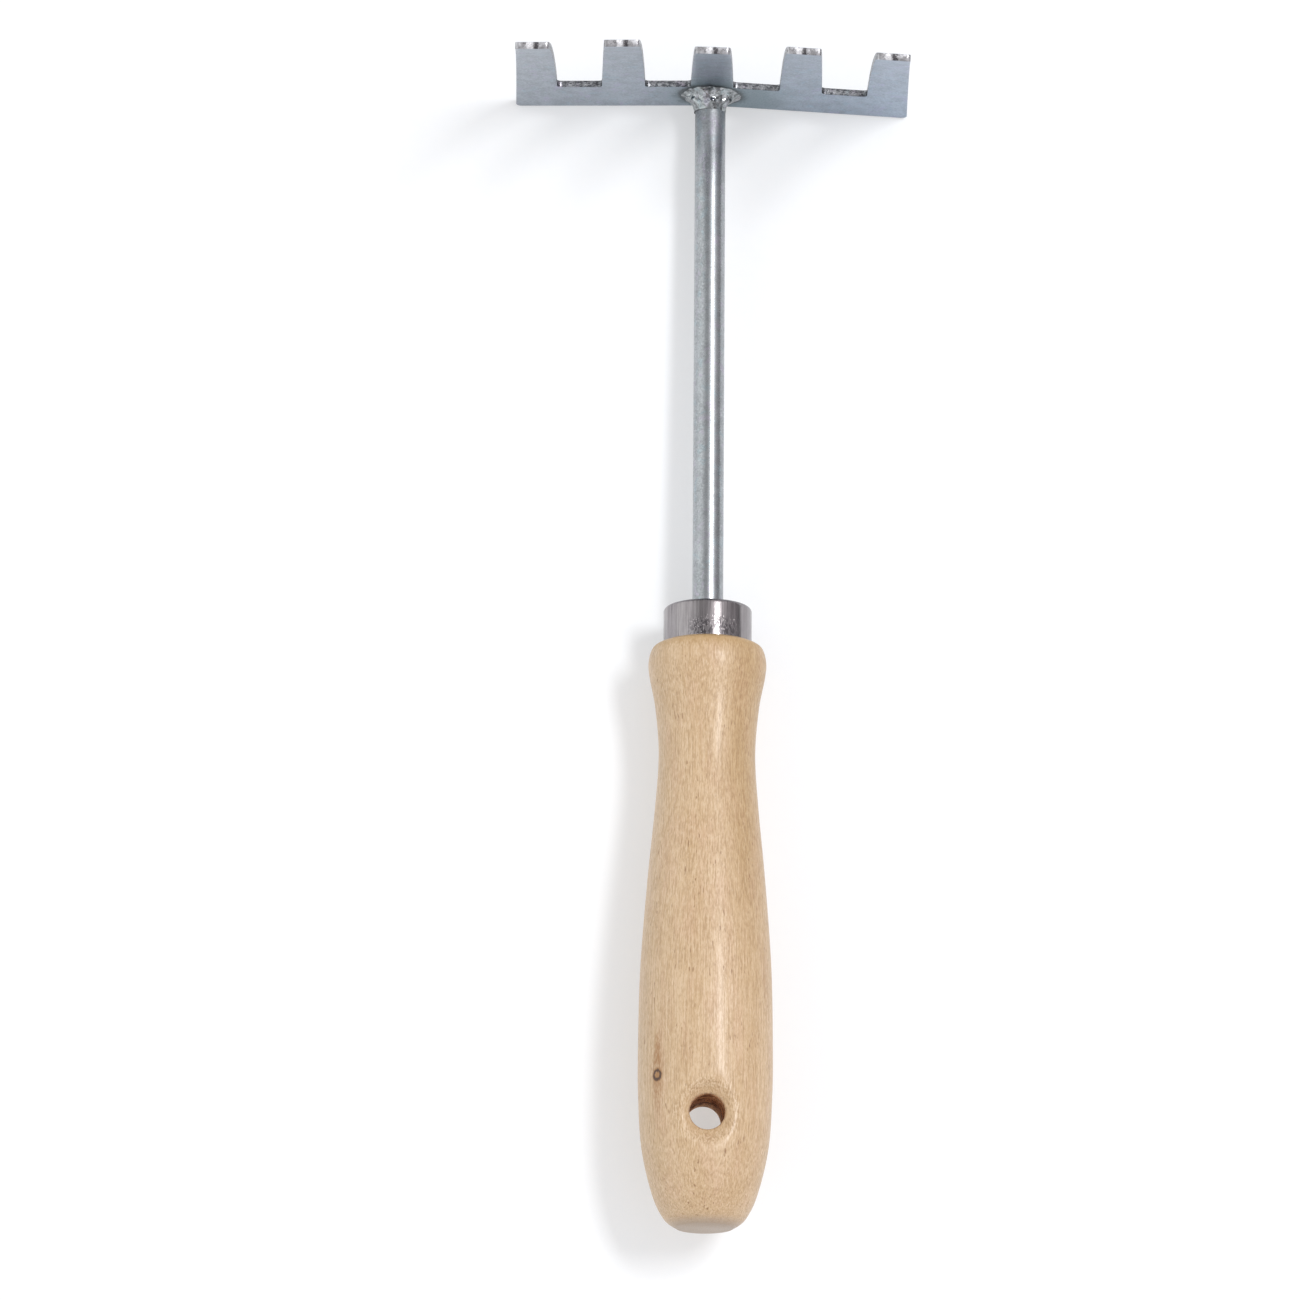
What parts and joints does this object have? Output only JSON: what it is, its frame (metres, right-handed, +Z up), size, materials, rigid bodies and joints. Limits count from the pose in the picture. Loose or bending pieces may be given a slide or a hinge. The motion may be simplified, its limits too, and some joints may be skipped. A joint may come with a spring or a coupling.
{
  "type": "hand rake",
  "caption": "Hand rake with a slightly bowed steel head of five tapered teeth, welded square to a round rod that a turned wooden handle with a steel ferrule holds.",
  "frame": {"origin": "centre of the bounding box, on the surface that the tool lies on", "axes": "+Y along the tool from the handle to the head, +Z up along the teeth, +X across the head, to the right when seen from the handle"},
  "size_m": [0.09, 0.2672, 0.0707],
  "materials": {
    "zinc_plate": "bright zinc plating on sheet steel, satin, faintly blue",
    "weld_metal": "zinc-plated weld bead, lumpy and shiny",
    "rod_zinc": "bright zinc plating on drawn rod, semi-gloss",
    "burnished_steel": "burnished bare steel, fine turning lines, semi-gloss",
    "lacquered_wood": "pale close-grained wood under clear lacquer, semi-gloss"
  },
  "bodies": {
    "root": {"rake_head": "zinc_plate", "weld_bead": "weld_metal", "shaft": "rod_zinc", "ferrule": "burnished_steel", "handle": "lacquered_wood"}
  },
  "joints": []
}
